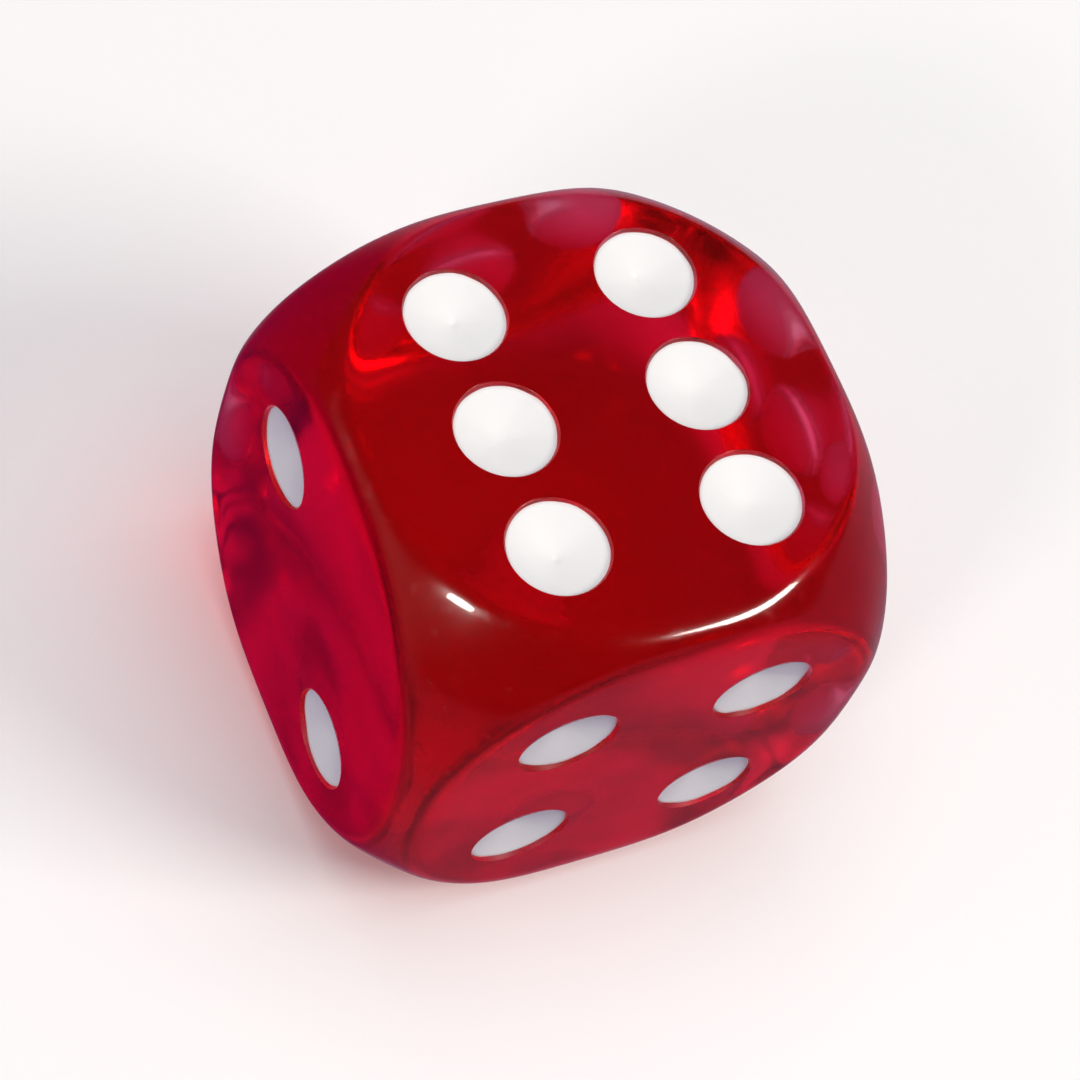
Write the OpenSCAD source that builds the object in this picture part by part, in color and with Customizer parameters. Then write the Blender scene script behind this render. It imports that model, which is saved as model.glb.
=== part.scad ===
// Round cornered casino die: one clear cast block with twenty one painted pips.
// The origin is the middle of the foot and +Z is up. The six is on top, the four
// is at the front (-Y), the two is on the left (-X) and opposite faces add up to seven.

/* [Body] */
// Distance between two opposite flats
side = 16; // [12:0.5:25]
// Radius of the ball that rounds the eight corners, as a share of the side
ball_share = 0.69; // [0.685:0.005:0.71]
// Radius of the polished blend round every flat, as a share of the side
blend_share = 0.075; // [0.06:0.005:0.08]

/* [Pips] */
// Width of a drilled dish where it meets the flat, as a share of the side
dish_share = 0.2; // [0.17:0.005:0.2]
// Depth of a drilled dish, as a share of its width
dish_depth_share = 0.33; // [0.26:0.01:0.4]
// Distance of a corner pip from the middle lines of its flat, as a share of the side
pitch_share = 0.2; // [0.19:0.005:0.205]
// Distance between the middle line and the two rows of the six, as a share of the side
six_row_share = 0.195; // [0.185:0.005:0.2]
// Distance of the end pips of the six from the middle of their row, as a share of the side
six_end_share = 0.25; // [0.235:0.005:0.255]

/* [Paint] */
// Thickness of the paint at the middle of a dish, as a share of the depth
paint_share = 0.5; // [0.36:0.02:0.6]
// Bare wall left between the edge of the paint and the flat, as a share of the depth
lip_share = 0.13; // [0.08:0.01:0.2]

/* [Hidden] */
half = side / 2;
ball_r = side * ball_share;
blend_r = side * blend_share;
core_h = half - blend_r;
flat_r = sqrt(pow(ball_r - blend_r, 2) - core_h * core_h);
rim_lift = side / 1600;

dish_r = side * dish_share / 2;
dish_depth = 2 * dish_r * dish_depth_share;
drill_r = (dish_r * dish_r + dish_depth * dish_depth) / (2 * dish_depth);
drill_z = drill_r - dish_depth;
paint_t = dish_depth * paint_share;
paint_lip = dish_depth * lip_share;
paint_r = sqrt(drill_r * drill_r - pow(drill_z + paint_lip, 2));
paint_sag = dish_depth - paint_t - paint_lip;
hollow_r = (paint_r * paint_r + paint_sag * paint_sag) / (2 * paint_sag);
hollow_z = hollow_r - dish_depth + paint_t;

// Turn that brings each face to the top, and the pips on it, in the order one to six
p = side * pitch_share;
row = side * six_row_share;
end = side * six_end_share;
TURNS = [[180, 0, 0], [0, -90, 0], [-90, 0, 0], [90, 0, 0], [0, 90, 0], [0, 0, 0]];
SPOTS = [
    [[0, 0]],
    [[-p, -p], [p, p]],
    [[-p, p], [0, 0], [p, -p]],
    [[-p, p], [p, p], [-p, -p], [p, -p]],
    [[-p, p], [p, p], [0, 0], [-p, -p], [p, -p]],
    [[-row, end], [-row, 0], [-row, -end], [row, end], [row, 0], [row, -end]]
];

$fn = 96;

// Square bar with four polished long edges
module edge_bar() {
    linear_extrude(height = 2 * side, center = true) {
        square([side, 2 * core_h], center = true);
        square([2 * core_h, side], center = true);
        for (x = [-1, 1], y = [-1, 1]) translate([x * core_h, y * core_h]) circle(r = blend_r);
    }
}

// Ring of plastic polished away round the top flat
module rim_ring() {
    rotate_extrude() difference() {
        polygon([[flat_r, core_h], [flat_r, side], [side, side], [side, side * core_h / flat_r]]);
        translate([flat_r, core_h + rim_lift]) circle(r = blend_r);
    }
}

// Cube with round corners, polished edges and a soft rim round each flat
module block() {
    difference() {
        intersection() {
            sphere(r = ball_r);
            edge_bar();
            rotate([90, 0, 0]) edge_bar();
            rotate([0, 90, 0]) edge_bar();
        }
        for (turn = TURNS) rotate(turn) rim_ring();
    }
}

// Puts its child at one pip of one face, with the flat at z = 0 of the child
module at_pip(value, index) {
    spot = SPOTS[value - 1][index];
    rotate(TURNS[value - 1]) translate([spot[0], spot[1], half]) children();
}

// Clear red block with a drilled dish for every pip
module die_body() {
    color([0.72, 0.02, 0.06, 0.8]) translate([0, 0, half]) difference() {
        block();
        for (value = [1:6], index = [0:value - 1]) {
            at_pip(value, index) translate([0, 0, drill_z]) sphere(r = drill_r);
        }
    }
}

// White paint that lines one dish, hollow on its outer side
module pip(value, index) {
    color([0.96, 0.96, 0.94]) translate([0, 0, half]) at_pip(value, index) difference() {
        translate([0, 0, drill_z]) sphere(r = drill_r);
        translate([0, 0, hollow_z]) sphere(r = hollow_r);
    }
}

die_body();
pip(1, 0);  // pip_1_a
pip(2, 0);  // pip_2_a
pip(2, 1);  // pip_2_b
pip(3, 0);  // pip_3_a
pip(3, 1);  // pip_3_b
pip(3, 2);  // pip_3_c
pip(4, 0);  // pip_4_a
pip(4, 1);  // pip_4_b
pip(4, 2);  // pip_4_c
pip(4, 3);  // pip_4_d
pip(5, 0);  // pip_5_a
pip(5, 1);  // pip_5_b
pip(5, 2);  // pip_5_c
pip(5, 3);  // pip_5_d
pip(5, 4);  // pip_5_e
pip(6, 0);  // pip_6_a
pip(6, 1);  // pip_6_b
pip(6, 2);  // pip_6_c
pip(6, 3);  // pip_6_d
pip(6, 4);  // pip_6_e
pip(6, 5);  // pip_6_f
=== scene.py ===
import math

import bpy
import numpy as np
from mathutils import Matrix, Vector
from mathutils.geometry import delaunay_2d_cdt


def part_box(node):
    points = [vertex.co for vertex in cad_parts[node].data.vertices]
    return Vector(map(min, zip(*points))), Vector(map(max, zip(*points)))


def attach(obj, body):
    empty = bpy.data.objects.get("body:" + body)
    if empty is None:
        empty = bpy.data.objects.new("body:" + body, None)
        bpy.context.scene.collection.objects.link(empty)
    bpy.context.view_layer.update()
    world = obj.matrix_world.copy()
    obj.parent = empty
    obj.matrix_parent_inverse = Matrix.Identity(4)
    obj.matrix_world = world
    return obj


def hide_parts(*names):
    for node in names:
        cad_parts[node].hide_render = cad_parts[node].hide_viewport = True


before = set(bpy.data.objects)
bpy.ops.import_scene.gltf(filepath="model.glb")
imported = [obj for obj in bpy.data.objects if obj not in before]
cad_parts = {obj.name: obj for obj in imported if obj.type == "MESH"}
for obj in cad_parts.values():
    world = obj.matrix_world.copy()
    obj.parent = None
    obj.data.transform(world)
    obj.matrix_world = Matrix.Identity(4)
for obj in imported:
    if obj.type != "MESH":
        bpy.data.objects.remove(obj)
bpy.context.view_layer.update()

# Sizes are in metres and come from the block's box. Shares of the side are those of the CAD model.
LOW, HIGH = (Vector(corner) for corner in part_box("die_body"))
SIDE = HIGH.z - LOW.z
CENTRE = np.array((LOW + HIGH) / 2)
HALF = SIDE / 2

# Rounding, in sides: the ball that cuts the corners, the blend along the edges and round the ball
BALL_SHARE = 0.69
EDGE_SOFT = 0.13
CROWN_SOFT = 0.032

# A drilled dish: its radius and depth, the ball that drills it and the fillet round its mouth
DISH_R = SIDE * 0.1
DISH_DEPTH = 2 * DISH_R * 0.33
DRILL_R = (DISH_R**2 + DISH_DEPTH**2) / (2 * DISH_DEPTH)
DRILL_Z = DRILL_R - DISH_DEPTH
RIM_FILLET = 0.00002

# The paint: its thickness in the middle, the bare lip above it and its bite into the wall
PAINT_T = DISH_DEPTH * 0.5
PAINT_LIP = DISH_DEPTH * 0.13
PAINT_SINK = 0.00002

# How the paint lies: roundness of its cone, waviness of its edge, lean, and a few small pits
CONE_SOFT = 0.18
WAVE_ORDERS = (2, 3, 5, 7, 11)
LIP_WAVE = 0.25
LEAN_MAX = 0.00008
PIT_SHARE = 0.15
PIT_DEPTH = 0.00005
PIT_OFFSET = 0.0004
PIT_WIDTH = 0.00011
PAINT_SEED = 21

# Mesh fineness: steps round and across, halvings and slope step of a surface search, point grids
TURN_STEPS = 44
TILT_STEPS = 26
RING_STEPS = 80
FILLET_STEPS = 5
WALL_STEPS = 18
SKIN_STEPS = 18
BOWL_STEPS = 10
HALVINGS = 50
SNAP = 1e-9
SLOPE_STEP = 1e-5
WELD_GRID = 1e8

# Triangles that fill a flat: spacing, height of a row, and gaps to the outline and to the dishes
GRID_STEP = 0.0008
ROW_HEIGHT = 0.866
OUTLINE_GAP = 0.4 * GRID_STEP
DISH_GAP = 0.6 * GRID_STEP

# Red dye and refraction of the block
DYE_COLOUR = (0.95, 0.03, 0.42, 1)
DYE_DENSITY = 340.0
ACRYLIC_IOR = 1.49
POLISH_ROUGHNESS = 0.03

# Floor
FLOOR_HALF = 1.5
FLOOR_DROP = 0.00002
FLOOR_COLOUR = (0.96, 0.96, 0.96, 1)

# Lamps: name, azimuth, elevation, width and height in degrees, radiance, colour, hidden rays
LAMP_AWAY = 0.5
WARM = (1.0, 0.95, 0.88)
LAMPS = (
    ("left_box", -150, 32, 9, 7, 26, WARM, ()),
    ("right_box", -43, 40, 25, 11, 18, WARM, ()),
    ("left_fill", 175, 15, 60, 30, 1.0, (1.0, 0.98, 1.0), ("glossy",)),
    ("top_box", 45, 88, 50, 50, 1.85, (1.0, 1.0, 1.0), ("glossy", "transmission")),
)

# Camera: angles in degrees, and distance from the middle of the die in sides
CAMERA_TURN = -134.3094
CAMERA_LIFT = 57.3419
CAMERA_ROLL = 25.2486
CAMERA_AWAY = 6.84875
CAMERA_LENS = 118.0
CAMERA_SENSOR = 36.0
CAMERA_CLIP = 0.005

# Radiance of the surroundings
ROOM_DARK = (0.012, 0.011, 0.013, 1)
ROOM_LIGHT = (0.22, 0.22, 0.24, 1)
ROOM_THROUGH = (1.0, 1.0, 1.05, 1)
TABLE_GLOW = (0.18, 0.14, 0.32, 1)
TABLE_FRONT = (0.15, 0.05, 0.085, 1)
TABLE_SIDE = (0.14, 0.004, 0.05, 1)
TABLE_BACK = (0.35, 0.20, 0.26, 1)

# Face value: outward direction, and two directions u and v in the face, with u x v = outward
FACES = {
    1: ((0, 0, -1), (1, 0, 0), (0, -1, 0)),
    2: ((-1, 0, 0), (0, 0, 1), (0, 1, 0)),
    3: ((0, 1, 0), (1, 0, 0), (0, 0, -1)),
    4: ((0, -1, 0), (1, 0, 0), (0, 0, 1)),
    5: ((1, 0, 0), (0, 0, -1), (0, 1, 0)),
    6: ((0, 0, 1), (1, 0, 0), (0, 1, 0)),
}
FACES = {value: tuple(np.array(a, float) for a in axes) for value, axes in FACES.items()}


class Shell:
    """Collects grids and triangles with exact normals, and welds the points that coincide."""

    def __init__(self):
        self.points, self.normals, self.faces, self.count = [], [], [], 0

    def add(self, points, normals, faces):
        points = np.asarray(points, float).reshape(-1, 3)
        self.points.append(points)
        self.normals.append(np.asarray(normals, float).reshape(-1, 3))
        self.faces += [[i + self.count for i in face] for face in faces]
        self.count += len(points)

    def grid(self, points, normals, flip=False):
        points = np.asarray(points, float)
        rows, cols = points.shape[:2]
        index = np.arange(rows * cols).reshape(rows, cols)
        corners = [index[:-1, :-1], index[:-1, 1:], index[1:, 1:], index[1:, :-1]]
        quads = np.stack(corners[::-1] if flip else corners, -1).reshape(-1, 4)
        self.add(points, normals, quads.tolist())

    def mesh(self, name, own_normals=True):
        points, normals = np.concatenate(self.points), np.concatenate(self.normals)
        keys = np.round(points * WELD_GRID).astype(np.int64)
        _, first, where = np.unique(keys, axis=0, return_index=True, return_inverse=True)
        where = where.ravel()
        faces, loops = [], []
        for face in self.faces:
            kept = {}
            for corner in face:
                kept.setdefault(int(where[corner]), corner)
            if len(kept) > 2:
                faces.append(list(kept))
                loops += [normals[corner] for corner in kept.values()]
        data = bpy.data.meshes.new(name)
        data.from_pydata(points[first].tolist(), [], faces)
        data.shade_smooth()
        if own_normals:
            data.normals_split_custom_set([tuple(n) for n in loops])
        ob = bpy.data.objects.new(name, data)
        bpy.context.scene.collection.objects.link(ob)
        return ob


# ---- The block ----


def soft_max(a, b, width):
    """Larger of two values, rounded off smoothly where they are closer than the width."""
    return np.maximum(a, b) + np.maximum(width - np.abs(a - b), 0) ** 3 / (6 * width**2)


def outside(p):
    """Rounded cube of side 1: under zero inside, zero on the surface."""
    flats = np.sort(np.abs(p), axis=-1) - 0.5
    cube = soft_max(soft_max(flats[..., 2], flats[..., 1], EDGE_SOFT), flats[..., 0], EDGE_SOFT)
    ball = np.linalg.norm(p, axis=-1) - BALL_SHARE
    return soft_max(cube, ball, CROWN_SOFT)


def on_surface(direction):
    """Points and normals where these directions from the middle leave the rounded cube."""
    low, high = np.zeros(direction.shape[:-1]), np.ones(direction.shape[:-1])
    for _ in range(HALVINGS):
        middle = (low + high) / 2
        out = outside(direction * middle[..., None]) > 0
        high, low = np.where(out, middle, high), np.where(out, low, middle)
    p = direction * high[..., None]
    step = SLOPE_STEP * np.eye(3)
    n = np.stack([outside(p + d) - outside(p - d) for d in step], -1)
    return p, n / np.linalg.norm(n, axis=-1)[..., None]


def flat_reach(turn):
    """Distance from the middle of a face to where it stops being flat."""
    ball = math.sqrt((BALL_SHARE - CROWN_SOFT) ** 2 - 0.25)
    nearest_edge = np.maximum(np.abs(np.cos(turn)), np.abs(np.sin(turn)))
    return np.minimum(ball, (0.5 - EDGE_SOFT) / nearest_edge)


def quarter_border():
    """One quarter of the rounded border of a face, as (outward, first, second) coordinates."""
    turn = np.linspace(-math.pi / 4, math.pi / 4, TURN_STEPS + 1)
    start, stop = np.arctan2(flat_reach(turn), 0.5), np.arctan2(1, np.cos(turn))
    tilt = start + (stop - start) * np.linspace(0, 1, TILT_STEPS + 1)[:, None]
    turn = np.broadcast_to(turn, tilt.shape)
    across = np.sin(tilt)
    return on_surface(np.stack([np.cos(tilt), across * np.cos(turn), across * np.sin(turn)], -1))


def rounded_border(shell):
    """Adds the rounded borders of all faces and returns the outline of each flat."""
    points, normals = quarter_border()
    rims = {}
    for value, (out, u, v) in FACES.items():
        rims[value] = []
        for e1, e2 in ((u, v), (v, -u), (-u, -v), (-v, u)):
            basis = np.array([out, e1, e2])
            placed = CENTRE + SIDE * (points @ basis)
            shell.grid(placed, normals @ basis, flip=True)
            rims[value] += list(placed[0][:-1])
    return rims


def dish_profile():
    """(radius, depth, normal) from the flat to the bottom of a dish, normal as (outwards, up)."""
    centre_r = math.sqrt((DRILL_R + RIM_FILLET) ** 2 - (DRILL_Z + RIM_FILLET) ** 2)
    start = math.pi / 2
    stop = math.atan2(DRILL_Z + RIM_FILLET, -centre_r)
    rows = []
    for k in range(FILLET_STEPS + 1):
        a = start + (stop - start) * k / FILLET_STEPS
        x, y = math.cos(a), math.sin(a)
        rows.append((centre_r + RIM_FILLET * x, RIM_FILLET - RIM_FILLET * y, (x, y)))
    wide = math.acos((DRILL_Z + rows[-1][1]) / DRILL_R)
    for k in range(1, WALL_STEPS + 1):
        a = wide * (1 - k / WALL_STEPS)
        x, y = math.sin(a), math.cos(a)
        rows.append((DRILL_R * x, DRILL_R * y - DRILL_Z, (-x, y)))
    return rows


def drill_dish(shell, value, spot, profile):
    """Adds the wall of one dish and returns the ring where it meets the flat."""
    out, u, v = FACES[value]
    turns = [2 * math.pi * k / RING_STEPS for k in range(RING_STEPS + 1)]
    points, normals = [], []
    for radius, depth, (side, up) in profile:
        middle = CENTRE + out * (HALF - depth) + u * spot[0] + v * spot[1]
        rays = [math.cos(t) * u + math.sin(t) * v for t in turns]
        points.append([middle + radius * r for r in rays])
        normals.append([side * r + up * out for r in rays])
    shell.grid(points, normals)
    return points[0][:-1]


def flat_face(shell, value, rim, holes):
    """Fills a flat between its outline and the rings of its dishes."""
    out, u, v = FACES[value]
    origin = CENTRE + out * HALF

    def flatten(points):
        return [Vector((float((p - origin) @ u), float((p - origin) @ v))) for p in points]

    coords, edges, loops = [], [], []
    for loop in [rim] + holes:
        base = len(coords)
        coords += flatten(loop)
        edges += [(base + k, base + (k + 1) % len(loop)) for k in range(len(loop))]
        loops.append(set(range(base, len(coords))))
    spots = [sum(flatten(hole), Vector((0, 0))) / len(hole) for hole in holes]
    reach = int(HALF / GRID_STEP) + 1
    for i in range(-reach, reach + 1):
        for j in range(-reach, reach + 1):
            q = Vector(((i + 0.5 * (j % 2)) * GRID_STEP, j * GRID_STEP * ROW_HEIGHT))
            limit = SIDE * float(flat_reach(math.atan2(q.y, q.x))) - OUTLINE_GAP
            clear = all((q - spot).length > DISH_R + DISH_GAP for spot in spots)
            if q.length < limit and clear:
                coords.append(q)
    verts, _, tris, origins, _, _ = delaunay_2d_cdt(coords, edges, [], 0, SNAP)
    kept = []
    for tri in tris:
        ids = {origins[k][0] for k in tri}
        if not any(ids <= hole for hole in loops[1:]):
            a, b, c = (verts[k] for k in tri)
            kept.append(tri if (b - a).cross(c - a) > 0 else tri[::-1])
    shell.add([origin + u * q.x + v * q.y for q in verts], [out] * len(verts), kept)


def pip_spots():
    """Face value: {pip node: (u, v) of its middle}, read from the boxes of the CAD pips."""
    found = {value: {} for value in FACES}
    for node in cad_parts:
        if node.startswith("pip_"):
            value = int(node.split("_")[1])
            lo, hi = (np.array(corner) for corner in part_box(node))
            offset = (lo + hi) / 2 - CENTRE
            found[value][node] = (float(offset @ FACES[value][1]), float(offset @ FACES[value][2]))
    return found


def store(ob, name, values):
    """Keeps one number for each point, for the materials to read."""
    ob.data.attributes.new(name, "FLOAT", "POINT").data.foreach_set("value", values)


def make_block(spots):
    """The clear block: rounded borders, flats and drilled dishes in one closed skin."""
    shell = Shell()
    rims = rounded_border(shell)
    profile = dish_profile()
    for value in FACES:
        holes = [drill_dish(shell, value, spot, profile) for spot in spots[value].values()]
        flat_face(shell, value, rims[value], holes)
    block = shell.mesh("red_block")
    mark_drilled(block, spots)
    store(block, "rounded", [1 - max(abs(c) for c in v.normal) for v in block.data.vertices])
    return block


def mark_drilled(block, spots):
    """Stores which points lie on a drilled wall, which stays matt when the flats are polished."""
    points = np.array([v.co for v in block.data.vertices]) - CENTRE
    drilled = np.zeros(len(points))
    for value, (out, u, v) in FACES.items():
        sunk = HALF - points @ out > RIM_FILLET / 2
        for spot in spots[value].values():
            from_middle = np.hypot(points @ u - spot[0], points @ v - spot[1])
            drilled[sunk & (from_middle < DISH_R) & (points @ out > 0)] = 1
    store(block, "drilled", drilled)


# ---- The paint in the pips ----


def wall_radius(depth):
    """Radius of a dish at a depth under the flat."""
    return np.sqrt(DRILL_R**2 - (DRILL_Z + depth) ** 2)


class Fill:
    """Shape of the paint in one dish, each a little different from the next."""

    def __init__(self, rng):
        self.waves = [
            (k, rng.uniform(0, 2 * math.pi), rng.uniform(0.2, 1.0) / k) for k in WAVE_ORDERS
        ]
        self.scale = sum(high for _, _, high in self.waves)
        self.lean, self.lean_turn = rng.uniform(0, LEAN_MAX), rng.uniform(0, 2 * math.pi)
        self.pit = PIT_DEPTH * (rng.uniform() < PIT_SHARE)
        self.pit_r, self.pit_turn = rng.uniform(0, PIT_OFFSET), rng.uniform(0, 2 * math.pi)

    def lip(self, turn):
        """Depth of the paint's edge under the flat, which wavers round the dish."""
        wave = sum(high * np.sin(k * turn + start) for k, start, high in self.waves)
        return PAINT_LIP * (1 + LIP_WAVE * wave / self.scale)

    def skin(self, share, turn):
        """(radius, depth) at a share of the way from the middle to the rim: a soft cone."""
        lip = self.lip(turn)
        rim = wall_radius(lip)
        fall = DISH_DEPTH - PAINT_T - lip
        top = math.hypot(1, CONE_SOFT)
        soft = np.sqrt(share**2 + CONE_SOFT**2)
        depth = lip + fall * (top - soft) / (top - CONE_SOFT)
        x, y = share * rim * np.cos(turn), share * rim * np.sin(turn)
        depth += self.lean * (1 - share**2) * share * np.cos(turn - self.lean_turn)
        dx = x - self.pit_r * math.cos(self.pit_turn)
        dy = y - self.pit_r * math.sin(self.pit_turn)
        depth += self.pit * np.exp(-(dx**2 + dy**2) / PIT_WIDTH**2)
        return share * rim, depth


def make_paint(node, value, spot, rng):
    """Closed fill of one dish: a shallow skin on top and the dish's own shape below."""
    out, u, v = FACES[value]
    fill = Fill(rng)
    turn = np.linspace(0, 2 * math.pi, RING_STEPS + 1)
    turn[-1] = 0
    top = [fill.skin(share, turn) for share in np.linspace(0, 1, SKIN_STEPS + 1)]
    seat = fill.lip(turn) + PAINT_SINK / 4
    bowl_r = DRILL_R + PAINT_SINK
    wide = np.arccos((DRILL_Z + seat) / bowl_r)
    bowl = [
        (bowl_r * np.sin(wide * k), bowl_r * np.cos(wide * k) - DRILL_Z)
        for k in np.linspace(1, 0, BOWL_STEPS + 1)
    ]
    rows = np.array(top + bowl)
    around = np.cos(turn)[:, None] * u + np.sin(turn)[:, None] * v
    origin = CENTRE + out * HALF + u * spot[0] + v * spot[1]
    points = origin + rows[:, 0, :, None] * around - rows[:, 1, :, None] * out
    shell = Shell()
    shell.grid(points, points, flip=True)
    ob = shell.mesh(f"paint_{node[4:]}", own_normals=False)
    far = [(v.co - Vector(origin)).length / DISH_R for v in ob.data.vertices]
    store(ob, "near_rim", np.minimum(far, 1.0))
    return ob


# ---- Materials ----


class Nodes:
    """Short way to build the node tree of a material or of the world."""

    def __init__(self, owner, output):
        owner.use_nodes = True
        self.tree = owner.node_tree
        self.tree.nodes.clear()
        self.out = self.add(output)

    def add(self, kind, **values):
        node = self.tree.nodes.new(kind)
        for key, value in values.items():
            if key in node.inputs:
                node.inputs[key].default_value = value
            else:
                setattr(node, key, value)
        return node

    def link(self, a, b):
        self.tree.links.new(a, b)

    def put(self, value, socket):
        """Links an output to a socket, or writes a plain value into it."""
        if isinstance(value, (int, float, tuple)):
            socket.default_value = value
        else:
            self.link(value, socket)

    def noise(self, place, scale, detail, rough):
        node = self.add("ShaderNodeTexNoise", Scale=scale, Detail=detail, Roughness=rough)
        self.link(place, node.inputs["Vector"])
        return node.outputs["Fac"]

    def ramp(self, value, stops):
        """Colours along a value. The stops are (position, colour), two or more."""
        node = self.add("ShaderNodeValToRGB")
        first, last = node.color_ramp.elements
        first.position, first.color = stops[0]
        last.position, last.color = stops[-1]
        for position, colour in stops[1:-1]:
            node.color_ramp.elements.new(position).color = colour
        self.link(value, node.inputs["Fac"])
        return node.outputs["Color"]

    def span(self, value, low, high, from_low=0.0, from_high=1.0, curve="LINEAR"):
        """Turns a value from one range into another and stops at its ends."""
        node = self.add("ShaderNodeMapRange", interpolation_type=curve)
        node.inputs["From Min"].default_value = from_low
        node.inputs["From Max"].default_value = from_high
        node.inputs["To Min"].default_value = low
        node.inputs["To Max"].default_value = high
        self.link(value, node.inputs["Value"])
        return node.outputs["Result"]

    def maths(self, what, a, b):
        node = self.add("ShaderNodeMath", operation=what)
        self.put(a, node.inputs[0])
        self.put(b, node.inputs[1])
        return node.outputs["Value"]

    def mix(self, share, first, second):
        """Blend of two colours."""
        node = self.add("ShaderNodeMix", data_type="RGBA")
        factor, a, b = node.inputs[0], node.inputs[6], node.inputs[7]
        self.put(share, factor)
        self.put(first, a)
        self.put(second, b)
        return node.outputs[2]

    def stretched(self, place, turn, scale):
        node = self.add("ShaderNodeMapping", Rotation=turn, Scale=scale)
        self.link(place, node.inputs["Vector"])
        return node.outputs["Vector"]

    def stored(self, name):
        return self.add("ShaderNodeAttribute", attribute_name=name).outputs["Fac"]

    def bump(self, height, strength, distance):
        node = self.add("ShaderNodeBump", Strength=strength, Distance=distance)
        self.link(height, node.inputs["Height"])
        return node.outputs["Normal"]


def new_material(name):
    """A material, its node helper and a principled shader on its surface."""
    material = bpy.data.materials.new(name)
    m = Nodes(material, "ShaderNodeOutputMaterial")
    shader = m.add("ShaderNodeBsdfPrincipled")
    m.link(shader.outputs["BSDF"], m.out.inputs["Surface"])
    return material, m, shader


def hairlines(m, place):
    """Two sets of fine scratches that run in different directions."""
    along = m.stretched(place, (0.3, 0.5, 0.4), (60, 1400, 1400))
    across = m.stretched(place, (0.9, -0.4, 1.3), (1500, 70, 1500))
    first = m.noise(along, scale=1.0, detail=2.0, rough=0.5)
    second = m.noise(across, scale=1.0, detail=2.0, rough=0.5)
    return m.maths("MAXIMUM", m.span(first, 0, 1, 0.66, 0.72), m.span(second, 0, 1, 0.67, 0.73))


def acrylic():
    """Clear red acrylic: polished skin over a faintly wavy, hazy block, with hairline marks."""
    material, m, shader = new_material("red_acrylic")
    place = m.add("ShaderNodeTexCoord").outputs["Object"]
    drilled, rounded = m.stored("drilled"), m.stored("rounded")
    smudge = m.noise(place, scale=260.0, detail=5.0, rough=0.6)
    tint = m.ramp(smudge, [(0.3, (1.0, 0.95, 0.955, 1)), (0.75, (0.985, 0.9, 0.91, 1))])
    m.link(tint, shader.inputs["Base Color"])

    grain = m.noise(place, scale=1100.0, detail=6.0, rough=0.65)
    scuffs = m.span(grain, 0.0, 0.12, 0.56, 0.66)
    worn = m.maths("MULTIPLY", m.span(rounded, 0.0, 1.0, 0.02, 0.2), scuffs)
    handled = m.maths("ADD", m.span(smudge, 0.12, 0.19, 0.3, 0.7), worn)
    roughness = m.maths("ADD", handled, m.maths("MULTIPLY", drilled, 0.35))
    m.link(roughness, shader.inputs["Roughness"])
    waves = m.noise(place, scale=330.0, detail=1.0, rough=0.4)
    m.link(m.bump(waves, strength=1.0, distance=0.00006), shader.inputs["Normal"])

    m.link(m.maths("SUBTRACT", 1.0, drilled), shader.inputs["Coat Weight"])
    scratches = m.bump(hairlines(m, place), strength=0.15, distance=0.000004)
    m.link(scratches, shader.inputs["Coat Normal"])
    shader.inputs["Coat Roughness"].default_value = POLISH_ROUGHNESS
    shader.inputs["Coat IOR"].default_value = ACRYLIC_IOR
    shader.inputs["IOR"].default_value = ACRYLIC_IOR
    shader.inputs["Transmission Weight"].default_value = 1.0

    dye = m.add("ShaderNodeVolumeAbsorption")
    dye.inputs["Color"].default_value = DYE_COLOUR
    dye.inputs["Density"].default_value = DYE_DENSITY
    m.link(dye.outputs["Volume"], m.out.inputs["Volume"])
    return material


def paint():
    """White pip paint: slightly uneven, satin, a little thinner and warmer towards its edge."""
    material, m, shader = new_material("pip_paint")
    place = m.add("ShaderNodeTexCoord").outputs["Object"]
    patch = m.noise(place, scale=1500.0, detail=4.0, rough=0.6)
    white, dull, edge = (0.90, 0.90, 0.885, 1), (0.88, 0.88, 0.875, 1), (0.80, 0.66, 0.66, 1)
    near_rim = m.maths("ADD", m.stored("near_rim"), m.span(patch, -0.03, 0.03))
    m.link(m.ramp(near_rim, [(0.0, white), (0.9, dull), (1.0, edge)]), shader.inputs["Base Color"])
    m.link(m.span(patch, 0.35, 0.6, 0.3, 0.7), shader.inputs["Roughness"])
    orange_peel = m.noise(place, scale=2600.0, detail=3.0, rough=0.5)
    m.link(m.bump(orange_peel, strength=0.4, distance=0.00002), shader.inputs["Normal"])
    return material


def floor_material():
    """Plain pale matt floor."""
    material, _, shader = new_material("pale_floor")
    shader.inputs["Base Color"].default_value = FLOOR_COLOUR
    shader.inputs["Roughness"].default_value = 0.7
    shader.inputs["Specular IOR Level"].default_value = 0.2
    return material


# ---- Stage, light and camera ----


def make_floor():
    """Floor just under the die. It isn't mirrored in the die and sends no light back to it."""
    corners = [(x * FLOOR_HALF, y * FLOOR_HALF, 0) for x, y in ((-1, -1), (1, -1), (1, 1), (-1, 1))]
    data = bpy.data.meshes.new("floor")
    data.from_pydata(corners, [], [(0, 1, 2, 3)])
    data.materials.append(floor_material())
    floor = bpy.data.objects.new("floor", data)
    bpy.context.scene.collection.objects.link(floor)
    floor.location.z = LOW.z - FLOOR_DROP
    floor.visible_glossy = False
    floor.visible_diffuse = False


def unit_vector(azimuth, elevation):
    """Direction away from the die at these angles, in degrees."""
    a, e = math.radians(azimuth), math.radians(elevation)
    return Vector((math.cos(e) * math.cos(a), math.cos(e) * math.sin(a), math.sin(e)))


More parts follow.
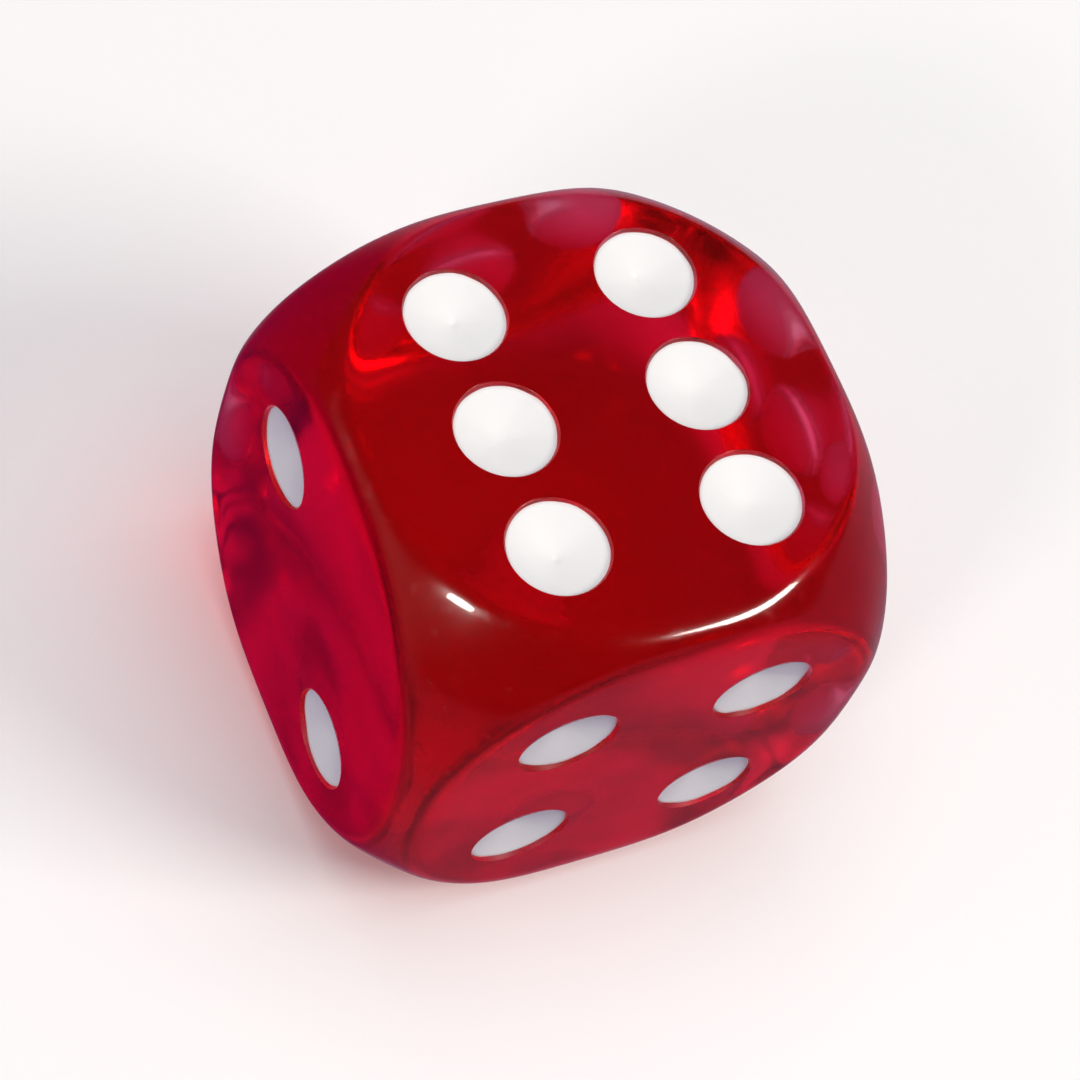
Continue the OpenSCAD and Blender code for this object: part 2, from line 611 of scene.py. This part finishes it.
def soft_lamp(name, azimuth, elevation, wide, high, radiance, colour, hidden):
    """Rectangular lamp seen from the die at these angles and this angular size, in degrees."""
    away = unit_vector(azimuth, elevation)
    lamp = bpy.data.lights.new(name, "AREA")
    lamp.shape = "RECTANGLE"
    lamp.size = 2 * LAMP_AWAY * math.tan(math.radians(wide / 2))
    lamp.size_y = 2 * LAMP_AWAY * math.tan(math.radians(high / 2))
    lamp.energy = radiance * math.pi * lamp.size * lamp.size_y
    lamp.color = colour
    ob = bpy.data.objects.new(name, lamp)
    ob.location = Vector(CENTRE) + away * LAMP_AWAY
    ob.rotation_euler = away.to_track_quat("Z", "Y").to_euler()
    ob.visible_glossy = "glossy" not in hidden
    ob.visible_transmission = "transmission" not in hidden
    bpy.context.scene.collection.objects.link(ob)


def make_world():
    """Soft room light. Polished faces mirror a dark room above and a dim grey table below."""
    world = bpy.data.worlds.new("studio")
    w = Nodes(world, "ShaderNodeOutputWorld")
    axis = w.add("ShaderNodeSeparateXYZ")
    w.link(w.add("ShaderNodeTexCoord").outputs["Generated"], axis.inputs[0])
    below = w.span(axis.outputs["Z"], 1.0, 0.0, -0.05, 0.02, "SMOOTHSTEP")
    front = w.span(axis.outputs["Y"], 1.0, 0.0, -0.3, 0.35, "SMOOTHSTEP")
    right = w.span(axis.outputs["X"], 0.0, 1.0, 0.0, 0.4, "SMOOTHSTEP")
    table = w.mix(front, w.mix(right, TABLE_SIDE, TABLE_BACK), TABLE_FRONT)
    mirrored = w.mix(below, ROOM_DARK, table)
    shining = w.mix(below, ROOM_LIGHT, TABLE_GLOW)

    path = w.add("ShaderNodeLightPath").outputs
    outward = w.maths("MULTIPLY", path["Is Glossy Ray"], path["Is Reflection Ray"])
    through = w.mix(path["Is Transmission Ray"], shining, ROOM_THROUGH)
    room = w.add("ShaderNodeBackground")
    w.link(w.mix(outward, through, mirrored), room.inputs["Color"])
    w.link(room.outputs["Background"], w.out.inputs["Surface"])
    bpy.context.scene.world = world


def make_camera():
    """Looks down at the front left corner, with the die in the middle of the picture."""
    away = unit_vector(CAMERA_TURN, CAMERA_LIFT)
    facing = away.to_track_quat("Z", "Y").to_matrix().to_4x4()
    place = Matrix.Translation(Vector(CENTRE) + away * CAMERA_AWAY * SIDE)
    cam = bpy.data.cameras.new("camera")
    cam.sensor_width = CAMERA_SENSOR
    cam.lens = CAMERA_LENS
    cam.clip_start = CAMERA_CLIP
    ob = bpy.data.objects.new("camera", cam)
    ob.matrix_world = place @ facing @ Matrix.Rotation(math.radians(CAMERA_ROLL), 4, "Z")
    bpy.context.scene.collection.objects.link(ob)
    bpy.context.scene.camera = ob


def main():
    spots = pip_spots()
    block = make_block(spots)
    block.data.materials.append(acrylic())
    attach(block, "root")
    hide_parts("die_body")

    white = paint()
    rng = np.random.default_rng(PAINT_SEED)
    for value, row in spots.items():
        for node, spot in row.items():
            fill = make_paint(node, value, spot, rng)
            fill.data.materials.append(white)
            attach(fill, "root")
            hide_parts(node)

    make_floor()
    make_world()
    for lamp in LAMPS:
        soft_lamp(*lamp)
    make_camera()
    bpy.context.scene.view_settings.view_transform = "Standard"


main()
